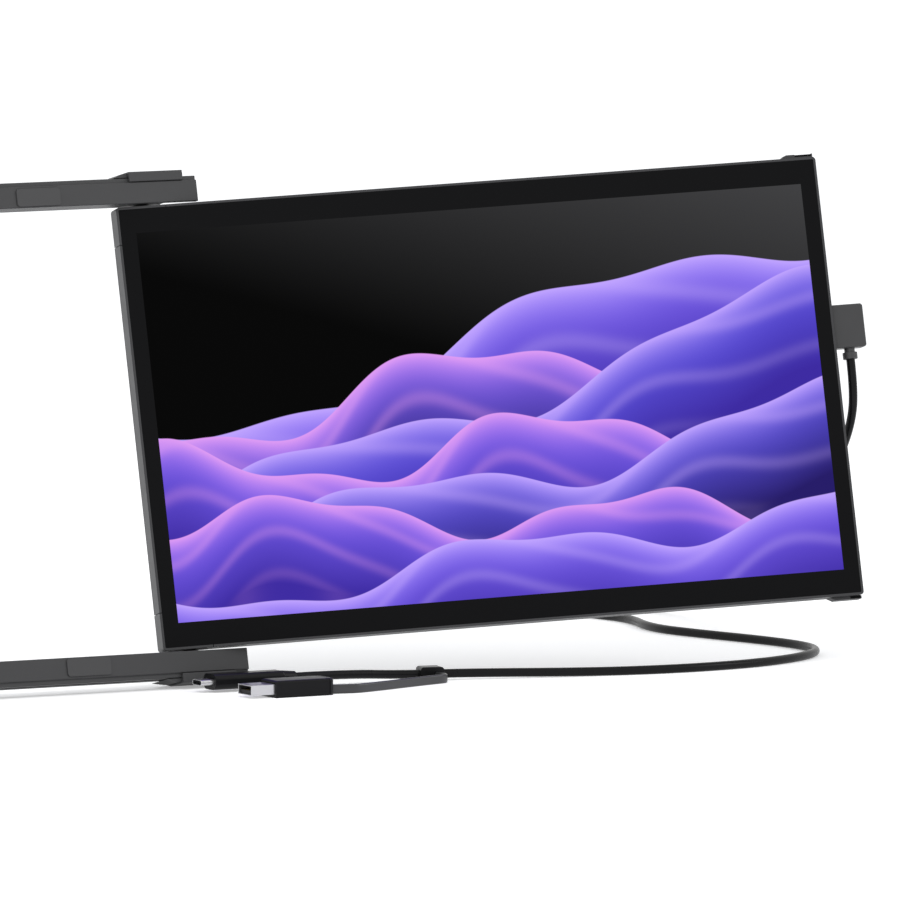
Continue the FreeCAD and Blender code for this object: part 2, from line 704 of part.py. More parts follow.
def plug_relief():
    """Tapered sleeve that the cord leaves the plug through."""
    w0 = SOCKET_W - PLUG_H / 2
    base = V(cord_u(), SOCKET_V, w0)
    collar = rod(RELIEF_R1, RELIEF_COLLAR, base, V(0, 0, -1))
    sleeve = Part.makeCone(RELIEF_R1 - RELIEF_STEP, RELIEF_R2, RELIEF_LEN, base, V(0, 0, -1))
    end = V(cord_u(), SOCKET_V, w0 - RELIEF_LEN + RELIEF_BEAD)
    bead = rod(RELIEF_R2 + RELIEF_STEP, RELIEF_BEAD, end, V(0, 0, -1))
    return collar.fuse(sleeve).fuse(bead).removeSplitter()


def cord_start():
    """Point on the relief's end face, in the part's frame."""
    mark = Part.Vertex(cord_u(), SOCKET_V, SOCKET_W - PLUG_H / 2 - RELIEF_LEN)
    return on_display(mark).Point


# Cord and what is on it

def cord_points():
    start = cord_start()
    exit_up = on_display(Part.Vertex(0, 0, 1)).Point - on_display(Part.Vertex(0, 0, 0)).Point
    return [
        start,
        start - exit_up * 12.0,
        V(632.6, -61.4, -4.5),
        V(633.4, -51.0, -21.0),
        V(635.8, -26.0, -45.0),
        V(642.4, 15.0, -72.0),
        V(652.0, 68.0, -92.0),
        V(662.5, 122.0, -104.0),
        V(667.8, 171.0, -111.0),
        V(666.6, 203.6, CORD_Z),
        V(652.6, 217.6, CORD_Z),
        V(632.6, 217.6, CORD_Z),
        V(618.6, 203.6, CORD_Z),
        V(620.6, 169.6, CORD_Z),
        V(627.6, 135.6, CORD_Z),
        V(616.6, 95.6, CORD_Z),
        V(626.6, 58.6, CORD_Z),
        V(634.6, 27.6, CORD_Z),
        V(639.1, -0.4, CORD_Z),
        V(636.6, -22.4, CORD_Z),
        V(626.1, -39.4, CORD_Z),
        V(606.6, -54.4, CORD_Z),
        V(576.6, -66.4, CORD_Z),
        V(536.6, -69.9, CORD_Z),
        V(496.6, -62.9, CORD_Z),
        V(440.6, -46.9, CORD_Z + CLIP_WALL),
        V(410.6, -39.9, CORD_Z + CLIP_WALL),
        V(384.0, LAPTOP_PLUG_Y, LAPTOP_PLUG_Z),
        V(LAPTOP_PLUG_RIGHT + LAPTOP_RELIEF_LEN, LAPTOP_PLUG_Y, LAPTOP_PLUG_Z),
    ]


def cord_wire(points):
    """Straight runs joined by tangent arcs, and the list of arc radii."""
    edges = []
    radii = []
    here = points[0]
    for i in range(1, len(points) - 1):
        before = points[i] - points[i - 1]
        after = points[i + 1] - points[i]
        half = before.getAngle(after) / 2
        cut_back = 0.45 * min(before.Length, after.Length)
        radius = cut_back / math.tan(half)
        a = points[i] - V(before).normalize() * cut_back
        b = points[i] + V(after).normalize() * cut_back
        inward = (V(after).normalize() - V(before).normalize()).normalize()
        centre = points[i] + inward * (radius / math.cos(half))
        middle = centre - inward * radius
        edges.append(Part.LineSegment(here, a).toShape())
        edges.append(Part.Arc(a, middle, b).toShape())
        radii.append(radius)
        here = b
    edges.append(Part.LineSegment(here, points[-1]).toShape())
    return Part.Wire(edges), radii


def cable_cord():
    points = cord_points()
    wire, radii = cord_wire(points)
    start_dir = (points[1] - points[0]).normalize()
    profile = Part.Wire(Part.makeCircle(CORD_R, points[0], start_dir))
    tube = wire.makePipeShell([profile], True, False, 0)
    length = wire.Length
    share = tube.Volume / (math.pi * CORD_R ** 2 * length)
    print("cord length %.1f mm, tightest arc %.1f mm, volume over section x length %.4f"
          % (length, min(radii), share))
    return tube


def laptop_plug_body():
    length, width, height = LAPTOP_PLUG
    y = LAPTOP_PLUG_Y
    right = LAPTOP_PLUG_RIGHT
    z = LAPTOP_PLUG_Z
    body = Part.makeBox(length, width, height, V(right - length, y - width / 2, z - height / 2))
    long_edges = [e for e in body.Edges if abs(e.tangentAt(e.FirstParameter).x) > 0.99]
    body = body.makeFillet(2.6, long_edges)
    rear = [e for e in body.Edges if e.BoundBox.XMin > right - 0.01]
    return body.makeChamfer(1.2, rear)


def laptop_plug_relief():
    base = V(LAPTOP_PLUG_RIGHT, LAPTOP_PLUG_Y, LAPTOP_PLUG_Z)
    return Part.makeCone(RELIEF_R1, RELIEF_R2, LAPTOP_RELIEF_LEN, base, V(1, 0, 0))


def laptop_plug_shell():
    start = (LAPTOP_PLUG_RIGHT - LAPTOP_PLUG[0], 0, 0)
    outer = tablet(SHELL_LEN, SHELL_W, SHELL_T, start, -1)
    inner = tablet(SHELL_LEN, SHELL_W - 2 * SHELL_WALL, SHELL_T - 2 * SHELL_WALL,
                   (start[0] - 0.6, 0, 0), -1)
    shell = outer.cut(inner)
    shell.rotate(V(0, 0, 0), V(1, 0, 0), 90)
    shell.translate(V(0, LAPTOP_PLUG_Y, LAPTOP_PLUG_Z))
    return shell


def adapter_body():
    length, width, height = ADAPTER
    right, front = ADAPTER_RIGHT
    body = Part.makeBox(length, width, height, V(right - length, front, TABLE_Z))
    upright = [e for e in body.Edges if abs(e.tangentAt(e.FirstParameter).z) > 0.99
               and e.CenterOfMass.x > right - 1]
    body = body.makeFillet(3.0, upright)
    tops = [e for e in body.Edges if e.BoundBox.ZMin > TABLE_Z + height - 0.01]
    body = body.makeFillet(1.4, tops)
    port = tablet(7.0, SHELL_W + 0.6, SHELL_T + 0.6, (right - 6.5, 0, 0), 1)
    port.rotate(V(0, 0, 0), V(1, 0, 0), 90)
    port.translate(V(0, front + width / 2, TABLE_Z + height / 2))
    seam = Part.makeBox(0.4, width + 2, height + 2, V(right - ADAPTER_END, front - 1, TABLE_Z - 1))
    core = Part.makeBox(2, width - 1.0, height - 1.0,
                        V(right - ADAPTER_END - 0.5, front + 0.5, TABLE_Z + 0.5))
    return body.cut(port).cut(seam.cut(core))


def adapter_shell():
    length, width, height = USB_A_SHELL
    right, front = ADAPTER_RIGHT
    x1 = right - ADAPTER[0]
    y = front + ADAPTER[1] / 2
    z = TABLE_Z + ADAPTER[2] / 2
    outer = Part.makeBox(length, width, height, V(x1 - length, y - width / 2, z - height / 2))
    inner = Part.makeBox(length, width - 2 * USB_A_WALL, height - 2 * USB_A_WALL,
                         V(x1 - length - USB_A_WALL, y - width / 2 + USB_A_WALL,
                           z - height / 2 + USB_A_WALL))
    return outer.cut(inner)


def adapter_tongue():
    length, width, height = USB_A_SHELL
    right, front = ADAPTER_RIGHT
    x1 = right - ADAPTER[0]
    y = front + ADAPTER[1] / 2
    z = TABLE_Z + ADAPTER[2] / 2
    low = z - height / 2 + USB_A_WALL
    inner = width - 2 * USB_A_WALL
    return Part.makeBox(length - 0.8 - USB_A_WALL, inner, 1.8,
                        V(x1 - length + 0.8, y - inner / 2, low))


def clip_run():
    """The cord's run that the clip holds: where the clip sits, and the run's direction."""
    a, b = cord_points()[-4:-2]
    return a + (b - a) * CLIP_SHARE, (b - a).normalize()


def tether_clip():
    """Small block clamped round the cord."""
    length, width, height = CLIP_SIZE
    body = Part.makeBox(length, width, height, V(-length / 2, -width / 2, -CORD_R - CLIP_WALL))
    body = body.makeFillet(1.6, [e for e in body.Edges if abs(e.tangentAt(e.FirstParameter).x) < 0.01
                                 and e.BoundBox.ZLength < 0.01 and e.BoundBox.ZMax > 0])
    body = body.cut(rod(CORD_R + CLIP_PLAY, length + 2, V(-length / 2 - 1, 0, 0), V(1, 0, 0)))
    centre, along = clip_run()
    angle = math.degrees(math.atan2(along.y, along.x))
    body.rotate(V(0, 0, 0), V(0, 0, 1), angle)
    body.translate(centre)
    return body


def tether_strap():
    """Flat rubber strap from the adapter's end to the clip, standing on its edge."""
    right, front = ADAPTER_RIGHT
    clip = clip_run()[0]
    inner = [V(right, front + 5.0, TABLE_Z), V(right + 12.0, front + 2.5, TABLE_Z),
             V(clip.x - 10.0, clip.y - 17.0, TABLE_Z),
             V(clip.x + 1.0, clip.y - 12.0, TABLE_Z),
             V(clip.x + 1.0, clip.y - 3.9, TABLE_Z)]
    strap = None
    for a, b in zip(inner, inner[1:]):
        along = (b - a).normalize()
        side = V(-along.y, along.x, 0) * (STRAP_T / 2)
        face = Part.Face(Part.makePolygon([a - side, b - side, b + side, a + side, a - side]))
        run = face.extrude(V(0, 0, STRAP_H))
        strap = run if strap is None else strap.fuse(run)
        strap = strap.fuse(rod(STRAP_T / 2, STRAP_H, b, V(0, 0, 1)))
    body = adapter_body()
    return strap.cut(tether_clip()).cut(body).removeSplitter()


SIDES = (("top", 1), ("bottom", -1))


def lid_pieces():
    """Pieces that stay on the lid, and those that slide."""
    pieces = {"end_bar": end_bar(), "bar_magnet": bar_magnet_box(0, MAGNET[2]),
              "bar_lid_plate": bar_lid_plate()}
    for name, side in SIDES:
        pieces[name + "_rail"] = rail(side)
        pieces[name + "_rail_end_plug"] = end_plug(side)
        pieces[name + "_rail_magnets"] = rail_magnets(side)
        pieces[name + "_lid_plates"] = lid_plates(side)
        pieces[name + "_shoe"] = shoe(side)
        pieces[name + "_shoe_cap"] = shoe_cap(side)
        pieces[name + "_hinge_pin"] = hinge_pin(side)
        pieces[name + "_hinge_washer"] = hinge_washer(side)
    return pieces


def display_pieces():
    pieces = {"display_frame": display_frame(), "cover_glass": cover_glass(),
              "lcd_panel": lcd_panel(), "backlight": backlight(), "panel_gasket": panel_gasket(),
              "chassis_plate": chassis_plate(), "screw_bosses": screw_bosses(),
              "main_board": main_board(), "button_board": button_board(),
              "usb_c_socket": usb_c_socket(), "rear_cover": rear_cover(),
              "cover_screws": cover_screws(), "plug_housing": plug_housing(),
              "plug_shell": plug_shell(), "plug_relief": plug_relief()}
    for name, w in zip(("power_key", "up_key", "down_key"), KEY_W):
        pieces[name] = key(w)
    for name, side in SIDES:
        pieces[name + "_hinge_leaf"] = hinge_leaf(side)
        pieces[name + "_leaf_screws"] = leaf_screws(side)
        pieces[name + "_leaf_anchor"] = leaf_anchor(side)
        pieces[name + "_hinge_cap"] = hinge_cap(side)
        pieces[name + "_corner_lug"] = corner_lug(side)
    return pieces


def table_pieces():
    return {"cable_cord": cable_cord(), "laptop_plug_housing": laptop_plug_body(),
            "laptop_plug_relief": laptop_plug_relief(), "laptop_plug_shell": laptop_plug_shell(),
            "adapter_housing": adapter_body(), "adapter_shell": adapter_shell(),
            "adapter_tongue": adapter_tongue(), "tether_clip": tether_clip(),
            "tether_strap": tether_strap()}


def main():
    os.makedirs("parts", exist_ok=True)
    nodes = {name: on_lid(shape) for name, shape in lid_pieces().items()}
    nodes.update({name: on_display(shape) for name, shape in display_pieces().items()})
    nodes.update(table_pieces())
    for name, shape in nodes.items():
        if not shape.isValid():
            print("not valid:", name)
        shape.exportStep("parts/%s.step" % name)
    print(len(nodes), "nodes")


if __name__ == "__main__":
    main()
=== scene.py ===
# Slide-out screen extender with its cord. Metres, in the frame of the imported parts.
import json
import math
from functools import partial

import bmesh
import bpy
from mathutils import Matrix, Vector


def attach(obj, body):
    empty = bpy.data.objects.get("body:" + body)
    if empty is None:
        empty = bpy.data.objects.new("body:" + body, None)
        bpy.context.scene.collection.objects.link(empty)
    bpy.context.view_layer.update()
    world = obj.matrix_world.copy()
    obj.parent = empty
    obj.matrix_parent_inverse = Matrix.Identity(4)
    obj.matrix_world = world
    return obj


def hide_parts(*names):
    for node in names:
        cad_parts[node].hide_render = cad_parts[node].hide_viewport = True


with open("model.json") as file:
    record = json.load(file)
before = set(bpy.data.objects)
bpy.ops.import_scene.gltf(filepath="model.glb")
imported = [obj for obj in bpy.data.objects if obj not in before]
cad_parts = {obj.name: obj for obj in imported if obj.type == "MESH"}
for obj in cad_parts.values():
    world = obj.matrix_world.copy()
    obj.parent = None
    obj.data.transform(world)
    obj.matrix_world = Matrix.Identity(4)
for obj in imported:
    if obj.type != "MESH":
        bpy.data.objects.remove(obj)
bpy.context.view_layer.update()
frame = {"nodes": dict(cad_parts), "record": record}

# Sizes and places
LID_LEAN = math.radians(12.726)
DISPLAY_SWING = math.radians(12.689)
SCREEN_CENTRE = Vector((0.462964, -0.0303, 0.006843))
SCREEN_SIZE = (0.3121, 0.1756)
GLASS_FRONT = 0.0004
TABLE_Z = -0.1154
CORD_R = 0.002
MM_PER_METRE = 1000

# Places on the display in millimetres: u along it from the hinge, v back, w up
HINGE_RIGHT = 321.89824
LID_PLATE_T = 0.6
AXIS_BACK = 16.5
DISPLAY_END = 312.5
DISPLAY_HALF_H = 99.75
RELIEF_TOP = (320.4, 6.4, 12.45)
RELIEF_PROFILE = ((0, 0), (2.4, 0), (2.4, -1.9), (3.15, -1.9), (3.35, -2.1), (3.35, -4.8),
                  (3.15, -5.0), (0, -5.0))
RELIEF_STEPS = 36

# Lugs on the display's outer corners in millimetres: foot, top and end are measured in from the
# display's end, and the corners of the painted-shade blocks in from that end, back, and up from
# the lug's tip
LUG_FRONT = 3.2
LUG_BACK = 8.9
LUG_OUTLINE = (15.6, 12.8, 0.4)
LUG_EDGE = 0.12
LUG_SUNK = 0.05
BOTTOM_LUG_TIP = -DISPLAY_HALF_H - 1.5
TOP_LUG_TIP = DISPLAY_HALF_H + 1.85
# Near-black blocks of painted shade in the lugs' ends
LUG_SHADE_BLOCKS = (
    ("top_lug_shade_block", TOP_LUG_TIP, (8.7, 3.3, -1.08), (1.1, 5.35, -0.2)),
    ("bottom_lug_shade_block", BOTTOM_LUG_TIP, (5.8, 3.12, 0.25), (0.9, 5.4, 1.35)),
)
SHADE_BLOCK_EDGE = 0.1

# Strap between the adapter and the clip on the cord, in millimetres
STRAP_ROUTE = ((356.7, -72.4), (361.0, -73.4), (366.5, -74.7), (370.5, -74.9), (384.0, -70.6),
               (398.0, -65.4), (412.0, -60.4), (418.5, -58.4), (423.0, -57.2), (425.6, -55.2),
               (425.8, -51.4), (425.2, -47.0))
STRAP_HEIGHT = 4.2
STRAP_EDGE = 0.9

# Contacts on the adapter's tongue, in millimetres
CONTACTS_LEFT = 316.2
TONGUE_TOP = -111.7
TONGUE_MIDDLE = -70.15
CONTACT_SIZE = (7.0, 1.1, 0.1)
CONTACT_OFFSETS = (-3.5, -1.0, 1.0, 3.5)
CONTACT_EDGE = 0.03

# Directions of the display: along it, out of its back, and up it
LEAN = Matrix.Rotation(-LID_LEAN, 3, "X")
SWING = LEAN @ Matrix.Rotation(-DISPLAY_SWING, 3, "Z")
DISPLAY_RIGHT = SWING @ Vector((1, 0, 0))
DISPLAY_BACK = SWING @ Vector((0, 1, 0))
DISPLAY_UP = SWING @ Vector((0, 0, 1))

TO_METRES = Matrix.Scale(1 / MM_PER_METRE, 4)


def from_hinge():
    """Matrix that puts a place on the display into the part's frame, in metres."""
    swing = Matrix.Rotation(-DISPLAY_SWING, 4, "Z")
    to_axis = Matrix.Translation((0, -AXIS_BACK, 0))
    to_lid = Matrix.Translation((HINGE_RIGHT, AXIS_BACK + LID_PLATE_T, 0))
    return TO_METRES @ Matrix.Rotation(-LID_LEAN, 4, "X") @ to_lid @ swing @ to_axis


def add_object(name, data):
    """New object of the scene around a mesh, curve, lamp or camera."""
    made = bpy.data.objects.new(name, data)
    bpy.context.scene.collection.objects.link(made)
    return made


# Camera
CAMERA_PLACE = Vector((-3.51014, -7.00779, 0.70170))
CAMERA_AZIMUTH = math.radians(29.552)
CAMERA_TILT = math.radians(5.126)
FOCAL_PIXELS = 18000.0
IMAGE_SIDE = 917.0
SENSOR_MM = 36.0


def add_camera():
    """Camera at the photograph's place, with its long focal length."""
    data = bpy.data.cameras.new("camera")
    data.sensor_width = SENSOR_MM
    data.lens = FOCAL_PIXELS / IMAGE_SIDE * SENSOR_MM
    data.clip_start = 0.1
    data.clip_end = 100.0
    camera = add_object("camera", data)
    camera.location = CAMERA_PLACE
    camera.rotation_euler = (math.radians(90) - CAMERA_TILT, 0, -CAMERA_AZIMUTH)
    bpy.context.scene.camera = camera


# Node helpers

def new_material(name):
    """New material with its node tree and its Principled shader."""
    material = bpy.data.materials.new(name)
    material.use_nodes = True
    tree = material.node_tree
    return material, tree, tree.nodes["Principled BSDF"]


def add_node(tree, kind, **settings):
    node = tree.nodes.new(kind)
    for key, value in settings.items():
        setattr(node, key, value)
    return node


def put(tree, socket, value):
    """Link a socket into another, or set it to a constant."""
    if isinstance(value, bpy.types.NodeSocket):
        tree.links.new(value, socket)
    else:
        socket.default_value = value


def calc(tree, operation, a, b=0.0, clamp=False):
    node = add_node(tree, "ShaderNodeMath", operation=operation, use_clamp=clamp)
    put(tree, node.inputs[0], a)
    put(tree, node.inputs[1], b)
    return node.outputs[0]


def dot(tree, a, b):
    node = add_node(tree, "ShaderNodeVectorMath", operation="DOT_PRODUCT")
    put(tree, node.inputs[0], a)
    put(tree, node.inputs[1], b)
    return node.outputs["Value"]


def mix_colour(tree, factor, a, b):
    node = add_node(tree, "ShaderNodeMix", data_type="RGBA")
    put(tree, node.inputs["Factor"], factor)
    put(tree, node.inputs["A"], a)
    put(tree, node.inputs["B"], b)
    return node.outputs["Result"]


def ramp(tree, value, low, high):
    """Map a 0 to 1 value between two others."""
    node = add_node(tree, "ShaderNodeMapRange")
    put(tree, node.inputs["Value"], value)
    put(tree, node.inputs["To Min"], low)
    put(tree, node.inputs["To Max"], high)
    return node.outputs["Result"]


def noise(tree, place, scale, detail):
    node = add_node(tree, "ShaderNodeTexNoise")
    node.inputs["Detail"].default_value = detail
    put(tree, node.inputs["Scale"], scale)
    put(tree, node.inputs["Vector"], place)
    return node.outputs["Fac"]


def object_place(tree):
    """Object coordinates, in metres in the part's frame."""
    return add_node(tree, "ShaderNodeTexCoord").outputs["Object"]


def new_group(name, inputs, outputs):
    """Node group with named inputs and outputs, each a name and a kind of value."""
    group = bpy.data.node_groups.new(name, "ShaderNodeTree")
    for in_out, sockets in (("INPUT", inputs), ("OUTPUT", outputs)):
        for socket, kind in sockets:
            group.interface.new_socket(socket, in_out=in_out, socket_type="NodeSocket" + kind)
    source = add_node(group, "NodeGroupInput").outputs
    result = add_node(group, "NodeGroupOutput").inputs
    return group, source, result


# Finish of the moulded and metal pieces, with the noise scales counted per metre
TONE_SCALE = 55.0
TONE_DETAIL = 3.0
GLOSS_SCALE = 160.0
GLOSS_DETAIL = 4.0
TEXTURE_DETAIL = 2.0
SURFACE_EDGE = 0.00025
EDGE_SAMPLES = 4
BUMP_DISTANCE = 0.0002


def finish_group():
    """Surface of a finish: slow changes of tone and gloss, and a fine texture for the bump."""
    group, source, out = new_group(
        "surface_finish",
        (("Place", "Vector"), ("Colour", "Color"), ("Variation", "Float"), ("Roughness", "Float"),
         ("Spread", "Float"), ("Texture Scale", "Float")),
        (("Colour", "Color"), ("Roughness", "Float"), ("Height", "Float")))
    math_node = partial(calc, group)
    place = source["Place"]
    variation = source["Variation"]
    roughness = source["Roughness"]
    spread = source["Spread"]
    tone = ramp(group, noise(group, place, TONE_SCALE, TONE_DETAIL),
                math_node("SUBTRACT", 1.0, variation), math_node("ADD", 1.0, variation))
    toned = add_node(group, "ShaderNodeMix", data_type="RGBA", blend_type="MULTIPLY")
    toned.inputs["Factor"].default_value = 1.0
    put(group, toned.inputs["A"], source["Colour"])
    put(group, toned.inputs["B"], tone)
    gloss = ramp(group, noise(group, place, GLOSS_SCALE, GLOSS_DETAIL),
                 math_node("SUBTRACT", roughness, spread), math_node("ADD", roughness, spread))
    texture = noise(group, place, source["Texture Scale"], TEXTURE_DETAIL)
    put(group, out["Colour"], toned.outputs["Result"])
    put(group, out["Roughness"], gloss)
    put(group, out["Height"], texture)
    return group


FINISH = finish_group()


def surface(name, colour, roughness, metallic=0.0, variation=0.06, spread=0.05,
            texture_scale=2600.0, texture_depth=0.12, specular=0.5):
    """Material with the finish above and edges softened as moulding and deburring leave them."""
    material, tree, shader = new_material(name)
    finish = add_node(tree, "ShaderNodeGroup", node_tree=FINISH)
    values = {"Place": object_place(tree), "Colour": (*colour, 1), "Variation": variation,
              "Roughness": roughness, "Spread": spread, "Texture Scale": texture_scale}
    for socket, value in values.items():
        put(tree, finish.inputs[socket], value)
    put(tree, shader.inputs["Base Color"], finish.outputs["Colour"])
    put(tree, shader.inputs["Roughness"], finish.outputs["Roughness"])
    edge = add_node(tree, "ShaderNodeBevel", samples=EDGE_SAMPLES)
    edge.inputs["Radius"].default_value = SURFACE_EDGE
    bump = add_node(tree, "ShaderNodeBump")
    bump.inputs["Strength"].default_value = texture_depth
    bump.inputs["Distance"].default_value = BUMP_DISTANCE
    put(tree, bump.inputs["Height"], finish.outputs["Height"])
    put(tree, bump.inputs["Normal"], edge.outputs["Normal"])
    put(tree, shader.inputs["Normal"], bump.outputs["Normal"])
    shader.inputs["Metallic"].default_value = metallic
    shader.inputs["Specular IOR Level"].default_value = specular
    return material


# Wallpaper: shape and light of a band
RIPPLE_TURNS = 2.37
RIPPLE_SHARE = 0.35
CREST_SHARPNESS = 2600.0
RIM_POWER = 7.0
BODY_POWER = 0.8
FOLDS = 13.0
FOLD_BEND = 2.6
FOLD_BEND_TURNS = 1.31
FOLD_POWER = 5.0
FOLD_LIGHT = 0.55
FOLD_FADE = 0.45
FOLD_SHARE = 0.62


def wave_group():
    """One rolling band of the wallpaper: a crest line, bright along it and deep below it."""
    numbers = ("Across", "Up", "Base", "Slope", "Height", "Waves", "Shift", "Depth")
    colours = ("Behind", "Crest", "Middle", "Deep")
    group, source, out = new_group(
        "wave_band",
        [(name, "Float") for name in numbers] + [(name, "Color") for name in colours],
        (("Colour", "Color"),))
    math_node = partial(calc, group)
    across = source["Across"]

    # Crest line across the screen, and how far a place is below it
    turn = math_node("ADD", math_node("MULTIPLY", across, source["Waves"]), source["Shift"])
    ripple = math_node("SINE", math_node("MULTIPLY", turn, RIPPLE_TURNS))
    ripple = math_node("MULTIPLY", ripple, RIPPLE_SHARE)
    wave = math_node("ADD", math_node("SINE", turn), ripple)
    wave = math_node("MULTIPLY", wave, source["Height"])
    line = math_node("ADD", source["Base"], math_node("MULTIPLY", across, source["Slope"]))
    below = math_node("SUBTRACT", math_node("ADD", line, wave), source["Up"])
    inside = math_node("MULTIPLY", below, CREST_SHARPNESS, True)
    depth = math_node("DIVIDE", below, source["Depth"], True)
    rim = math_node("POWER", math_node("SUBTRACT", 1.0, depth), RIM_POWER, True)

    # Folds of silk that follow the crest and fade with depth
    bend = math_node("SINE", math_node("MULTIPLY", turn, FOLD_BEND_TURNS))
    bend = math_node("MULTIPLY", bend, FOLD_BEND)
    fold = math_node("SINE", math_node("ADD", math_node("MULTIPLY", depth, FOLDS), bend))
    fold = math_node("ADD", math_node("MULTIPLY", fold, 0.5), 0.5)
    fold = math_node("POWER", fold, FOLD_POWER)
    fade = math_node("SUBTRACT", FOLD_LIGHT, math_node("MULTIPLY", depth, FOLD_FADE))
    fold = math_node("MULTIPLY", math_node("MULTIPLY", fold, fade), FOLD_SHARE)

    body = math_node("POWER", depth, BODY_POWER)
    body = mix_colour(group, body, source["Middle"], source["Deep"])
    silk = mix_colour(group, fold, body, source["Crest"])
    lit = mix_colour(group, rim, silk, source["Crest"])
    put(group, out["Colour"], mix_colour(group, inside, source["Behind"], lit))
    return group


BLACK = (0.0, 0.0, 0.0, 1)
BORDER = (0.006, 0.006, 0.0064, 1)
# Grey of the painted reflection on the glass
REFLECTION_GREY = (0.055, 0.055, 0.058, 1)
LAVENDER = (0.54, 0.38, 1.0, 1)
PINK = (0.76, 0.34, 0.90, 1)
VIOLET = (0.20, 0.12, 0.95, 1)
BLUE_VIOLET = (0.13, 0.10, 0.86, 1)
DEEP = (0.045, 0.022, 0.36, 1)
INK = (0.018, 0.010, 0.14, 1)

# Base, slope, height, turns per metre, shift, depth, crest, middle and deep colour, back to front
BANDS = (
    (0.030, 0.24, 0.011, 26.0, 0.4, 0.060, LAVENDER, VIOLET, DEEP),
    (0.014, 0.10, 0.013, 33.0, 2.2, 0.050, PINK, VIOLET, INK),
    (0.000, 0.26, 0.010, 29.0, 4.1, 0.046, LAVENDER, BLUE_VIOLET, DEEP),
    (-0.018, 0.02, 0.012, 36.0, 0.9, 0.048, PINK, VIOLET, DEEP),
    (-0.034, 0.15, 0.010, 31.0, 3.3, 0.044, LAVENDER, BLUE_VIOLET, INK),
    (-0.050, -0.06, 0.009, 39.0, 5.2, 0.040, PINK, VIOLET, DEEP),
    (-0.068, 0.08, 0.008, 34.0, 1.7, 0.040, LAVENDER, VIOLET, DEEP),
)

# Painted reflection on the glass, a grey sheen over the black sky towards its upper right: how
# fast it grows each way, where it starts
REFLECTION_ACROSS = 2.6
REFLECTION_UP = 7.5
REFLECTION_START = 0.12
REFLECTION_POWER = 1.3

GLASS_SCALE = 30.0
GLASS_ROUGHNESS = (0.10, 0.16)
GLASS_SPECULAR = 0.035


def wallpaper(tree, across, up):
    """Rolling violet waves, each band laid over the ones behind it, under a black sky with a
    painted grey reflection towards its upper right.
    """
    # Painted reflection: a grey sheen laid over the black sky towards the upper right
    slant = calc(tree, "ADD", calc(tree, "MULTIPLY", across, REFLECTION_ACROSS),
                 calc(tree, "MULTIPLY", up, REFLECTION_UP))
    painted_reflection = calc(tree, "POWER", calc(tree, "SUBTRACT", slant, REFLECTION_START, True), REFLECTION_POWER)
    picture = mix_colour(tree, painted_reflection, BLACK, REFLECTION_GREY)
    wave = wave_group()
    for *line, crest, middle, deep in BANDS:
        band = add_node(tree, "ShaderNodeGroup", node_tree=wave)
        values = (across, up, *line, picture, crest, middle, deep)
        for socket, value in zip(band.inputs, values):
            put(tree, socket, value)
        picture = band.outputs["Colour"]
    return picture


def screen_glass():
    """Cover glass: a black border, and inside it the lit picture."""
    material, tree, shader = new_material("screen_glass")
    place = object_place(tree)
    offset = add_node(tree, "ShaderNodeVectorMath", operation="SUBTRACT")
    put(tree, offset.inputs[0], place)
    put(tree, offset.inputs[1], SCREEN_CENTRE)
    across, up, back = (dot(tree, offset.outputs[0], direction)
                        for direction in (DISPLAY_RIGHT, DISPLAY_UP, DISPLAY_BACK))
    in_width = calc(tree, "LESS_THAN", calc(tree, "ABSOLUTE", across), SCREEN_SIZE[0] / 2)
    in_height = calc(tree, "LESS_THAN", calc(tree, "ABSOLUTE", up), SCREEN_SIZE[1] / 2)
    in_front = calc(tree, "LESS_THAN", back, GLASS_FRONT)
    lit = calc(tree, "MULTIPLY", calc(tree, "MULTIPLY", in_width, in_height), in_front)
    picture = wallpaper(tree, across, up)
    gloss = ramp(tree, noise(tree, place, GLASS_SCALE, TONE_DETAIL), *GLASS_ROUGHNESS)
    put(tree, shader.inputs["Emission Color"], mix_colour(tree, lit, BLACK, picture))
    put(tree, shader.inputs["Base Color"], mix_colour(tree, lit, BORDER, BLACK))
    put(tree, shader.inputs["Roughness"], gloss)
    shader.inputs["Emission Strength"].default_value = 1.0
    shader.inputs["Specular IOR Level"].default_value = GLASS_SPECULAR
    return material


# Settings that several finishes share
SMOOTH_RUBBER = {"texture_scale": 900.0, "texture_depth": 0.05}
POLISHED = {"metallic": 1.0, "variation": 0.03, "texture_scale": 700.0, "texture_depth": 0.04}
BRUSHED = {"metallic": 1.0, "variation": 0.03, "spread": 0.08, "texture_scale": 900.0,
           "texture_depth": 0.08}

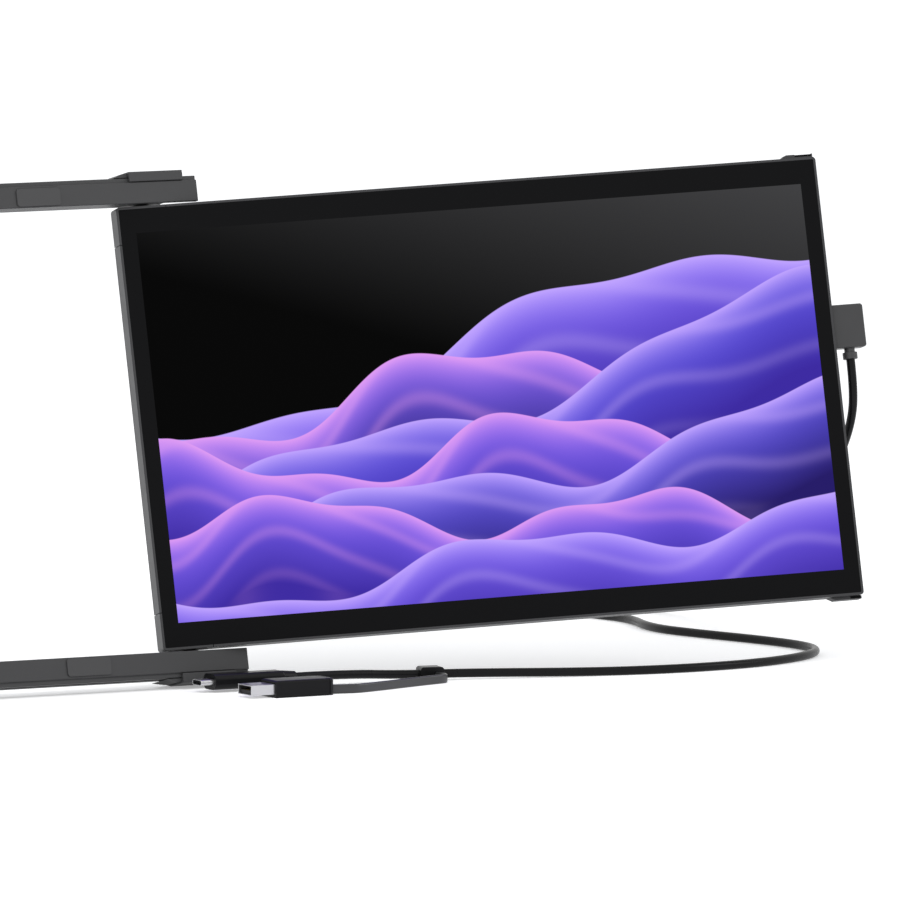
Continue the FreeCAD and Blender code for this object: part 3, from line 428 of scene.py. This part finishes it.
# Colour, roughness and other settings of each finish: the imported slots', then the scene's own
FINISHES = {
    "grey_plastic": ((0.040, 0.040, 0.041), 0.50, {"specular": 0.35}),
    "black_plastic": ((0.005, 0.005, 0.0055), 0.30, {"specular": 0.14}),
    "cord_rubber": ((0.005, 0.005, 0.0055), 0.28, {"specular": 0.14, **SMOOTH_RUBBER}),
    "nylon": ((0.55, 0.55, 0.52), 0.5, {}),
    "foam": ((0.003, 0.003, 0.003), 0.9,
             {"texture_scale": 1200.0, "texture_depth": 0.5, "specular": 0.1}),
    "gold": ((0.83, 0.58, 0.22), 0.25, POLISHED),
    "board": ((0.01, 0.09, 0.03), 0.35, {}),
    "white_sheet": ((0.8, 0.8, 0.8), 0.5, {}),
    "lcd": ((0.02, 0.02, 0.03), 0.2, {}),
    "steel": ((0.52, 0.52, 0.53), 0.32, BRUSHED),
    "aluminium": ((0.6, 0.6, 0.62), 0.4, BRUSHED),
    "magnet": ((0.6, 0.6, 0.6), 0.2, POLISHED),
    "rim_plastic": ((0.028, 0.028, 0.030), 0.42, {"specular": 0.4}),
    "plug_plastic": ((0.040, 0.040, 0.041), 0.42, {"specular": 0.35}),
    "strap_rubber": ((0.022, 0.022, 0.023), 0.30, {"specular": 0.6, **SMOOTH_RUBBER}),
    "dark_steel": ((0.13, 0.13, 0.135), 0.36, BRUSHED),
    "plate_paint": ((0.035, 0.035, 0.036), 0.45, {"texture_scale": 1500.0}),
}


def make_materials():
    """Every finish as a material, by the name of its slot, and the screen's glass."""
    materials = {name: surface(name, colour, roughness, **settings)
                 for name, (colour, roughness, settings) in FINISHES.items()}
    materials["dark_glass"] = screen_glass()
    return materials


OWN_FINISH = {
    "rim_plastic": ("display_frame", "top_hinge_cap", "bottom_hinge_cap"),
    "plug_plastic": ("plug_housing",),
    "dark_steel": ("top_hinge_leaf", "bottom_hinge_leaf", "top_leaf_screws", "bottom_leaf_screws",
                   "cover_screws"),
    "plate_paint": ("bar_lid_plate", "top_lid_plates", "bottom_lid_plates"),
}


def dress_nodes(materials):
    """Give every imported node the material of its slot, and some their own."""
    finish = {part["node"]: part["material_slot"] for part in frame["record"]["subparts"]}
    for name, nodes in OWN_FINISH.items():
        finish.update({node: name for node in nodes})
    for node, packed in frame["nodes"].items():
        if not packed.material_slots:
            packed.data.materials.append(None)
        for slot in packed.material_slots:
            slot.material = materials[finish[node]]


# Lines drawn through a route, for the cord and the strap

def route_curve(name, places, thickness, roundness, smoothness):
    """Curve that runs smoothly by a route of places, with capped ends."""
    curve = bpy.data.curves.new(name, "CURVE")
    curve.dimensions = "3D"
    curve.bevel_depth = thickness
    curve.bevel_resolution = roundness
    curve.resolution_u = smoothness
    curve.use_fill_caps = True
    spline = curve.splines.new("NURBS")
    spline.points.add(len(places) - 1)
    for point, place in zip(spline.points, places):
        point.co = (*place, 1)
    spline.order_u = 3
    spline.use_endpoint_u = True
    return curve


# Cord: down from the plug, a turn on the table behind the display, then along its lower edge
CORD_ROUTE = (
    (0.632254, -0.062583, 0.009469), (0.6326, -0.0614, -0.0045), (0.6334, -0.0510, -0.0210),
    (0.6358, -0.0260, -0.0450), (0.6424, 0.0150, -0.0720), (0.6520, 0.0680, -0.0920),
    (0.6625, 0.1220, -0.1040), (0.6678, 0.1710, -0.1110), (0.6666, 0.2036, -0.1134),
    (0.6526, 0.2176, -0.1134), (0.6356, 0.2176, -0.1134), (0.6242, 0.2046, -0.1134),
    (0.6272, 0.1720, -0.1134), (0.6336, 0.1392, -0.1134), (0.6190, 0.0968, -0.1134),
    (0.6266, 0.0586, -0.1134), (0.6346, 0.0276, -0.1134), (0.6391, -0.0004, -0.1134),
    (0.6366, -0.0224, -0.1134), (0.6261, -0.0394, -0.1134), (0.6066, -0.0544, -0.1134),
    (0.5766, -0.0664, -0.1134), (0.5366, -0.0699, -0.1134), (0.4966, -0.0629, -0.1134),
    (0.4406, -0.0469, -0.1124), (0.4106, -0.0399, -0.1124), (0.3840, -0.0397, -0.1107),
    (0.3566, -0.0397, -0.1107),
)
CORD_START = Vector((0.632254, -0.05994, 0.021174))


def add_cord(materials):
    """Cord from the display's plug to the laptop's."""
    places = (CORD_START,) + CORD_ROUTE
    cord = add_object("cable", route_curve("cable", places, CORD_R, roundness=5,
                                          smoothness=10))
    cord.data.materials.append(materials["cord_rubber"])
    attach(cord, "cable")
    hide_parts("cable_cord")


# Pieces on the display and the adapter: points that lie closer together than this are merged
JOIN_MM = 0.001
JOIN_M = JOIN_MM / MM_PER_METRE


def add_piece(name, shape, place, material, body):
    """Turn a bmesh into a piece of a body, moved by the matrix of its place."""
    bmesh.ops.transform(shape, matrix=place, verts=shape.verts)
    bmesh.ops.recalc_face_normals(shape, faces=shape.faces)
    mesh = bpy.data.meshes.new(name)
    shape.to_mesh(mesh)
    shape.free()
    mesh.materials.append(material)
    piece = add_object(name, mesh)
    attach(piece, body)
    return piece


def bevel_edges(shape, width, segments):
    """Bevel every edge of a shape."""
    bmesh.ops.bevel(shape, geom=shape.edges[:], offset=width, segments=segments, profile=0.5,
                    affect="EDGES", material=-1)


def block(low, high, bevel):
    """Box between two corners, with its edges bevelled."""
    shape = bmesh.new()
    bmesh.ops.create_cube(shape, size=1.0)
    size = Vector(high) - Vector(low)
    middle = (Vector(high) + Vector(low)) / 2
    bmesh.ops.scale(shape, vec=size, verts=shape.verts)
    bmesh.ops.translate(shape, vec=middle, verts=shape.verts)
    bevel_edges(shape, bevel, 2)
    return shape


def add_plug_collar(materials):
    """Neck and collar that the cord leaves the angled plug through."""
    shape = bmesh.new()
    points = [shape.verts.new((radius, 0, height)) for radius, height in RELIEF_PROFILE]
    edges = [shape.edges.new(pair) for pair in zip(points, points[1:])]
    bmesh.ops.spin(shape, geom=points + edges, cent=(0, 0, 0), axis=(0, 0, 1),
                   angle=math.radians(360), steps=RELIEF_STEPS, use_merge=True)
    bmesh.ops.remove_doubles(shape, verts=shape.verts, dist=JOIN_MM)
    place = from_hinge() @ Matrix.Translation(RELIEF_TOP)
    collar = add_piece("plug_collar", shape, place, materials["plug_plastic"],
                       "cable")
    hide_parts("plug_relief")
    return collar


def add_bottom_lug(materials):
    """Ramped catch under the display's outer corner."""
    foot, top, end = (DISPLAY_END - inset for inset in LUG_OUTLINE)
    edge = -DISPLAY_HALF_H
    root = edge + LUG_SUNK
    corners = ((foot, edge), (top, BOTTOM_LUG_TIP), (end, BOTTOM_LUG_TIP), (end, root),
               (foot, root))
    shape = bmesh.new()
    face = shape.faces.new([shape.verts.new((u, LUG_FRONT, w)) for u, w in corners])
    drawn = bmesh.ops.extrude_face_region(shape, geom=[face])
    moved = [item for item in drawn["geom"] if isinstance(item, bmesh.types.BMVert)]
    bmesh.ops.translate(shape, vec=(0, LUG_BACK - LUG_FRONT, 0), verts=moved)
    bevel_edges(shape, LUG_EDGE, 1)
    lug = add_piece("bottom_lug", shape, from_hinge(), materials["grey_plastic"],
                    "display")
    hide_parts("bottom_corner_lug")


def add_lug_shade_blocks(materials):
    """Near-black blocks set into the ends of both lugs, where they meet the rails: painted shade
    where those ends fall dark.
    """
    for name, tip, (low_inset, low_back, low_rise), (high_inset, high_back, high_rise) in LUG_SHADE_BLOCKS:
        low = (DISPLAY_END - low_inset, low_back, tip + low_rise)
        high = (DISPLAY_END - high_inset, high_back, tip + high_rise)
        add_piece(name, block(low, high, SHADE_BLOCK_EDGE), from_hinge(), materials["foam"],
                  "display")


def add_strap(materials):
    """Flat rubber strap on its edge, from the adapter's end round to the clip."""
    places = [(x / MM_PER_METRE, y / MM_PER_METRE, 0) for x, y in STRAP_ROUTE]
    curve = route_curve("strap", places, STRAP_EDGE / MM_PER_METRE, roundness=3, smoothness=8)
    curve.twist_mode = "Z_UP"
    curve.extrude = (STRAP_HEIGHT / 2 - STRAP_EDGE) / MM_PER_METRE
    drawn = bpy.data.objects.new("strap_line", curve)
    shape = bmesh.new()
    shape.from_mesh(bpy.data.meshes.new_from_object(drawn))
    bpy.data.objects.remove(drawn)
    bmesh.ops.remove_doubles(shape, verts=shape.verts, dist=JOIN_M)
    place = Matrix.Translation((0, 0, TABLE_Z + STRAP_HEIGHT / 2 / MM_PER_METRE))
    strap = add_piece("strap", shape, place, materials["strap_rubber"], "cable")
    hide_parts("tether_strap")
    return strap


def add_adapter_contacts(materials):
    """Four gold strips on the tongue inside the adapter's plug."""
    length, width, thick = CONTACT_SIZE
    contacts = []
    for number, offset in enumerate(CONTACT_OFFSETS, start=1):
        middle = TONGUE_MIDDLE + offset
        low = (CONTACTS_LEFT, middle - width / 2, TONGUE_TOP)
        high = (CONTACTS_LEFT + length, middle + width / 2, TONGUE_TOP + thick)
        contact = add_piece("adapter_contact_%d" % number, block(low, high, CONTACT_EDGE),
                            TO_METRES, materials["gold"], "cable")
        contacts.append(contact)
    return contacts


# Stage
WHITE = (1, 1, 1, 1)
FLOOR_HALF_SIDE = 12.0
FLOOR_COLOUR = (0.93, 0.93, 0.93, 1)
FLOOR_ROUGHNESS = 0.9
FLOOR_LIFT = 0.34
ROOM_LIGHT = (0.80, 0.81, 0.83, 1)

# Lamps: name, place, what it points at, size and power
LAMPS = (
    ("key", (-0.9, -1.6, 1.9), (0.4, 0, 0), 1.2, 24.0),
    ("fill", (2.2, -1.2, 1.2), (0.5, 0, 0), 1.0, 8.0),
)


def seen_directly(tree):
    """1 where the camera, a reflection or a clear piece shows the background itself."""
    path = add_node(tree, "ShaderNodeLightPath").outputs
    mirrored = calc(tree, "MAXIMUM", path["Is Glossy Ray"], path["Is Transmission Ray"])
    return calc(tree, "MAXIMUM", path["Is Camera Ray"], mirrored)


def add_floor():
    """Matt pale floor that keeps the shadow and is lifted to white where it is seen."""
    shape = bmesh.new()
    bmesh.ops.create_grid(shape, x_segments=1, y_segments=1, size=FLOOR_HALF_SIDE)
    bmesh.ops.translate(shape, vec=(0, 0, TABLE_Z), verts=shape.verts)
    mesh = bpy.data.meshes.new("floor")
    shape.to_mesh(mesh)
    shape.free()
    material, tree, shader = new_material("floor_white")
    shader.inputs["Base Color"].default_value = FLOOR_COLOUR
    shader.inputs["Roughness"].default_value = FLOOR_ROUGHNESS
    shader.inputs["Specular IOR Level"].default_value = 0.0
    shader.inputs["Emission Color"].default_value = WHITE
    put(tree, shader.inputs["Emission Strength"],
        calc(tree, "MULTIPLY", seen_directly(tree), FLOOR_LIFT))
    mesh.materials.append(material)
    add_object("floor", mesh)


def add_world():
    """Even room light, white where it is seen directly."""
    world = bpy.data.worlds.new("studio")
    bpy.context.scene.world = world
    world.use_nodes = True
    tree = world.node_tree
    background = tree.nodes["Background"]
    put(tree, background.inputs["Color"],
        mix_colour(tree, seen_directly(tree), ROOM_LIGHT, WHITE))
    background.inputs["Strength"].default_value = 1.0


def add_lamps():
    """Square lamps, each turned to its target."""
    for name, place, target, size, power in LAMPS:
        data = bpy.data.lights.new(name, "AREA")
        data.energy = power
        data.size = size
        lamp = add_object(name, data)
        lamp.location = place
        direction = Vector(target) - Vector(place)
        lamp.rotation_euler = direction.to_track_quat("-Z", "Y").to_euler()


def add_pieces(materials):
    """The scene's own pieces, and the cord that carries some of them."""
    collar = add_plug_collar(materials)
    contacts = add_adapter_contacts(materials)
    strap = add_strap(materials)
    add_cord(materials)
    add_bottom_lug(materials)
    add_lug_shade_blocks(materials)


bpy.context.scene.view_settings.view_transform = "Standard"
finishes = make_materials()
dress_nodes(finishes)
add_pieces(finishes)
add_camera()
add_floor()
add_world()
add_lamps()
